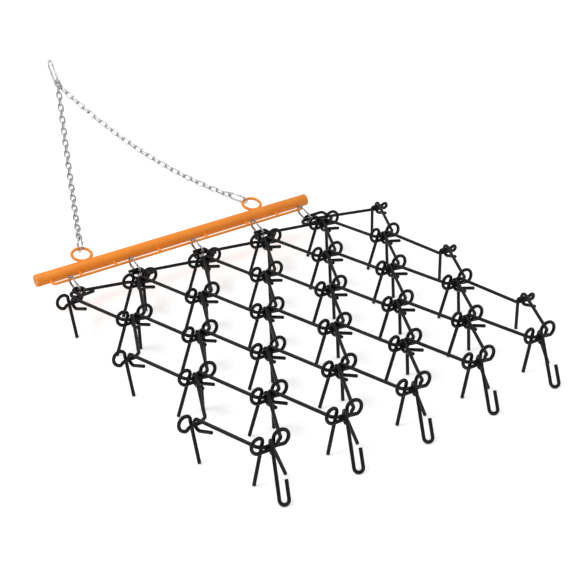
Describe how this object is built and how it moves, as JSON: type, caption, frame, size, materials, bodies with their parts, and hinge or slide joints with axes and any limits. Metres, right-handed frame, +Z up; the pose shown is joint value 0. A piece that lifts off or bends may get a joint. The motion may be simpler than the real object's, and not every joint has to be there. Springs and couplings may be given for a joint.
{
  "type": "chain harrow",
  "caption": "Drag chain harrow: a pipe drawbar with a hook rail, a hinged mat of bent tine wires hung from snap hooks, and a two-branch chain bridle with a tow hook.",
  "frame": {"origin": "on the ground, under the middle of the whole harrow", "axes": "+Z up, +Y forward along the towing direction, +X to the right"},
  "size_m": [1.5134, 2.5829, 0.546],
  "materials": {
    "drawbar_orange": "satin orange powder coat",
    "mat_black": "satin black paint",
    "zinc": "bright zinc plating"
  },
  "bodies": {
    "drawbar": {"drawbar_tube": "drawbar_orange", "hook_rail": "drawbar_orange", "left_hitch_eye": "drawbar_orange", "right_hitch_eye": "drawbar_orange"},
    "rail_hook_1": {"rail_1_snap": "zinc"},
    "rail_hook_2": {"rail_2_snap": "zinc"},
    "rail_hook_3": {"rail_3_snap": "zinc"},
    "rail_hook_4": {"rail_4_snap": "zinc"},
    "rail_hook_5": {"rail_5_snap": "zinc"},
    "front_row": {"front_edge_link": "mat_black", "front_link_1": "mat_black", "front_link_2": "mat_black", "front_link_3": "mat_black", "front_link_4": "mat_black", "front_link_5": "mat_black"},
    "mat_row_2": {"mat_link_2_1": "mat_black", "mat_link_2_2": "mat_black", "mat_link_2_3": "mat_black", "mat_link_2_4": "mat_black", "mat_link_2_5": "mat_black"},
    "mat_row_3": {"mat_link_3_1": "mat_black", "mat_link_3_2": "mat_black", "mat_link_3_3": "mat_black", "mat_link_3_4": "mat_black", "mat_link_3_5": "mat_black", "mat_link_3_6": "mat_black"},
    "mat_row_4": {"mat_link_4_1": "mat_black", "mat_link_4_2": "mat_black", "mat_link_4_3": "mat_black", "mat_link_4_4": "mat_black", "mat_link_4_5": "mat_black"},
    "mat_row_5": {"mat_link_5_1": "mat_black", "mat_link_5_2": "mat_black", "mat_link_5_3": "mat_black", "mat_link_5_4": "mat_black", "mat_link_5_5": "mat_black", "mat_link_5_6": "mat_black"},
    "mat_row_6": {"mat_link_6_1": "mat_black", "mat_link_6_2": "mat_black", "mat_link_6_3": "mat_black", "mat_link_6_4": "mat_black", "mat_link_6_5": "mat_black"},
    "tail_1": {"tail_hook_1": "mat_black"},
    "tail_2": {"tail_hook_2": "mat_black"},
    "tail_3": {"tail_hook_3": "mat_black"},
    "tail_4": {"tail_hook_4": "mat_black"},
    "tail_5": {"tail_hook_5": "mat_black"},
    "left_branch": {"left_end_snap": "zinc", "left_chain": "zinc"},
    "right_branch": {"right_end_snap": "zinc", "right_chain": "zinc"},
    "tow_hook": {"tow_snap": "zinc"},
    "rail_1_gate_body": {"rail_1_gate": "zinc"},
    "rail_2_gate_body": {"rail_2_gate": "zinc"},
    "rail_3_gate_body": {"rail_3_gate": "zinc"},
    "rail_4_gate_body": {"rail_4_gate": "zinc"},
    "rail_5_gate_body": {"rail_5_gate": "zinc"},
    "left_end_gate_body": {"left_end_gate": "zinc"},
    "right_end_gate_body": {"right_end_gate": "zinc"},
    "tow_gate_body": {"tow_gate": "zinc"}
  },
  "joints": [
    {"name": "rail_hook_1_swing", "type": "hinge", "parent": "drawbar", "child": "rail_hook_1", "pos_m": [-0.63595, 0.09443, 0.1473], "axis": [1, 0, 0], "range_deg": [-25, 40]},
    {"name": "rail_hook_2_swing", "type": "hinge", "parent": "drawbar", "child": "rail_hook_2", "pos_m": [-0.38295, 0.09443, 0.1473], "axis": [1, 0, 0], "range_deg": [-25, 40]},
    {"name": "rail_hook_3_swing", "type": "hinge", "parent": "drawbar", "child": "rail_hook_3", "pos_m": [-0.10695, 0.09443, 0.1473], "axis": [1, 0, 0], "range_deg": [-25, 40]},
    {"name": "rail_hook_4_swing", "type": "hinge", "parent": "drawbar", "child": "rail_hook_4", "pos_m": [0.17305, 0.09443, 0.1473], "axis": [1, 0, 0], "range_deg": [-25, 40]},
    {"name": "rail_hook_5_swing", "type": "hinge", "parent": "drawbar", "child": "rail_hook_5", "pos_m": [0.40205, 0.09443, 0.1473], "axis": [1, 0, 0], "range_deg": [-25, 40]},
    {"name": "front_row_swing", "type": "hinge", "parent": "rail_hook_3", "child": "front_row", "pos_m": [-0.10695, 0.03408, 0.134], "axis": [1, 0, 0], "range_deg": [-30, 30]},
    {"name": "mat_row_2_swing", "type": "hinge", "parent": "front_row", "child": "mat_row_2", "pos_m": [0.01005, -0.04292, 0.128], "axis": [1, 0, 0], "range_deg": [-25, 25]},
    {"name": "mat_row_3_swing", "type": "hinge", "parent": "mat_row_2", "child": "mat_row_3", "pos_m": [0.01005, -0.26592, 0.128], "axis": [1, 0, 0], "range_deg": [-25, 25]},
    {"name": "mat_row_4_swing", "type": "hinge", "parent": "mat_row_3", "child": "mat_row_4", "pos_m": [0.01005, -0.48892, 0.128], "axis": [1, 0, 0], "range_deg": [-25, 25]},
    {"name": "mat_row_5_swing", "type": "hinge", "parent": "mat_row_4", "child": "mat_row_5", "pos_m": [0.01005, -0.71192, 0.128], "axis": [1, 0, 0], "range_deg": [-25, 25]},
    {"name": "mat_row_6_swing", "type": "hinge", "parent": "mat_row_5", "child": "mat_row_6", "pos_m": [0.01005, -0.93492, 0.128], "axis": [1, 0, 0], "range_deg": [-25, 25]},
    {"name": "tail_1_swing", "type": "hinge", "parent": "mat_row_6", "child": "tail_1", "pos_m": [-0.55395, -1.15792, 0.128], "axis": [1, 0, 0], "range_deg": [-25, 40]},
    {"name": "tail_2_swing", "type": "hinge", "parent": "mat_row_6", "child": "tail_2", "pos_m": [-0.27195, -1.15792, 0.128], "axis": [1, 0, 0], "range_deg": [-25, 40]},
    {"name": "tail_3_swing", "type": "hinge", "parent": "mat_row_6", "child": "tail_3", "pos_m": [0.01005, -1.15792, 0.128], "axis": [1, 0, 0], "range_deg": [-25, 40]},
    {"name": "tail_4_swing", "type": "hinge", "parent": "mat_row_6", "child": "tail_4", "pos_m": [0.29205, -1.15792, 0.128], "axis": [1, 0, 0], "range_deg": [-25, 40]},
    {"name": "tail_5_swing", "type": "hinge", "parent": "mat_row_6", "child": "tail_5", "pos_m": [0.57405, -1.15792, 0.128], "axis": [1, 0, 0], "range_deg": [-25, 40]},
    {"name": "left_branch_swing", "type": "hinge", "parent": "drawbar", "child": "left_branch", "pos_m": [-0.51675, 0.24923, 0.17273], "axis": [1, 0, 0], "range_deg": [-25, 25]},
    {"name": "right_branch_swing", "type": "hinge", "parent": "drawbar", "child": "right_branch", "pos_m": [0.23086, 0.24923, 0.17273], "axis": [1, 0, 0], "range_deg": [-25, 25]},
    {"name": "tow_hook_swing", "type": "hinge", "parent": "left_branch", "child": "tow_hook", "pos_m": [-0.14295, 1.2132, 0.46377], "axis": [1, 0, 0], "range_deg": [-30, 6]},
    {"name": "rail_1_gate_swing", "type": "hinge", "parent": "rail_hook_1", "child": "rail_1_gate_body", "pos_m": [-0.63596, 0.03985, 0.15473], "axis": [-1, 0, 0], "range_deg": [0, 25], "stiffness_Nm_per_rad": 0.6},
    {"name": "rail_2_gate_swing", "type": "hinge", "parent": "rail_hook_2", "child": "rail_2_gate_body", "pos_m": [-0.38295, 0.03985, 0.15473], "axis": [-1, 0, 0], "range_deg": [0, 25], "stiffness_Nm_per_rad": 0.6},
    {"name": "rail_3_gate_swing", "type": "hinge", "parent": "rail_hook_3", "child": "rail_3_gate_body", "pos_m": [-0.10695, 0.03985, 0.15473], "axis": [-1, 0, 0], "range_deg": [0, 25], "stiffness_Nm_per_rad": 0.6},
    {"name": "rail_4_gate_swing", "type": "hinge", "parent": "rail_hook_4", "child": "rail_4_gate_body", "pos_m": [0.17305, 0.03985, 0.15473], "axis": [-1, 0, 0], "range_deg": [0, 25], "stiffness_Nm_per_rad": 0.6},
    {"name": "rail_5_gate_swing", "type": "hinge", "parent": "rail_hook_5", "child": "rail_5_gate_body", "pos_m": [0.40206, 0.03985, 0.15473], "axis": [-1, 0, 0], "range_deg": [0, 25], "stiffness_Nm_per_rad": 0.6},
    {"name": "left_end_gate_swing", "type": "hinge", "parent": "left_branch", "child": "left_end_gate_body", "pos_m": [-0.49128, 0.29327, 0.19096], "axis": [0.8558, -0.3298, -0.3986], "range_deg": [0, 25], "stiffness_Nm_per_rad": 0.6},
    {"name": "right_end_gate_swing", "type": "hinge", "parent": "right_branch", "child": "right_end_gate_body", "pos_m": [0.20532, 0.29345, 0.19042], "axis": [0.8535, 0.3321, 0.4015], "range_deg": [0, 25], "stiffness_Nm_per_rad": 0.6},
    {"name": "tow_gate_swing", "type": "hinge", "parent": "tow_hook", "child": "tow_gate_body", "pos_m": [-0.14295, 1.21078, 0.49614], "axis": [-1, 0, 0], "range_deg": [0, 25], "stiffness_Nm_per_rad": 0.6}
  ],
  "couplings": [
    {"joint": "rail_hook_1_swing", "follows": "rail_hook_3_swing", "ratio": 1},
    {"joint": "rail_hook_2_swing", "follows": "rail_hook_3_swing", "ratio": 1},
    {"joint": "rail_hook_4_swing", "follows": "rail_hook_3_swing", "ratio": 1},
    {"joint": "rail_hook_5_swing", "follows": "rail_hook_3_swing", "ratio": 1},
    {"joint": "right_branch_swing", "follows": "left_branch_swing", "ratio": 1}
  ]
}
